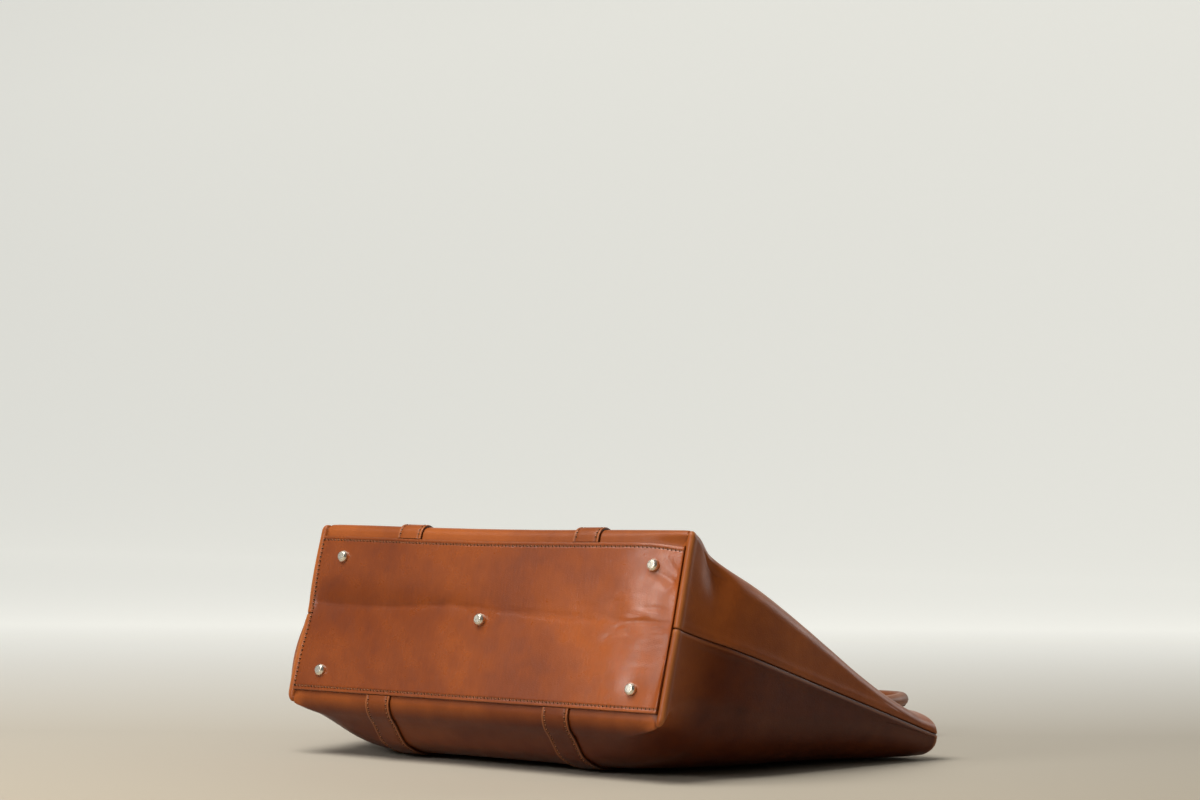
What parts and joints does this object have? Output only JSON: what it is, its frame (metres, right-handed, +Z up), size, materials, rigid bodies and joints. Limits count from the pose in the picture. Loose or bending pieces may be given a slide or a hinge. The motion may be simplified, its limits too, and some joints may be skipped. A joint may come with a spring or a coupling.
{
  "type": "leather tote bag",
  "caption": "Open-topped leather tote bag lying on its front face: wedge-shaped hollow body, flat stitched straps, rolled handles and a rectangular base with metal feet.",
  "frame": {"origin": "middle of the box round the bag, on the surface that it lies on", "axes": "+Z up from the front face, on which it lies, to the back face; +Y from the base to the mouth and handles; +X across the bag"},
  "size_m": [0.5024, 0.4972, 0.189],
  "materials": {
    "panel_leather": "smooth cognac leather with a soft sheen",
    "base_leather": "smooth cognac leather, creased and slightly rubbed",
    "strap_leather": "smooth cognac leather, top-stitched near both edges",
    "handle_leather": "smooth cognac leather, rolled",
    "foot_metal": "polished pale nickel"
  },
  "bodies": {
    "root": {"front_panel": "panel_leather", "back_panel": "panel_leather", "base_panel": "base_leather", "strap_front_left": "strap_leather", "strap_front_right": "strap_leather", "strap_back_left": "strap_leather", "strap_back_right": "strap_leather", "handle_front": "handle_leather", "handle_back": "handle_leather", "foot_front_left": "foot_metal", "foot_front_right": "foot_metal", "foot_back_left": "foot_metal", "foot_back_right": "foot_metal", "foot_centre": "foot_metal"}
  },
  "joints": []
}
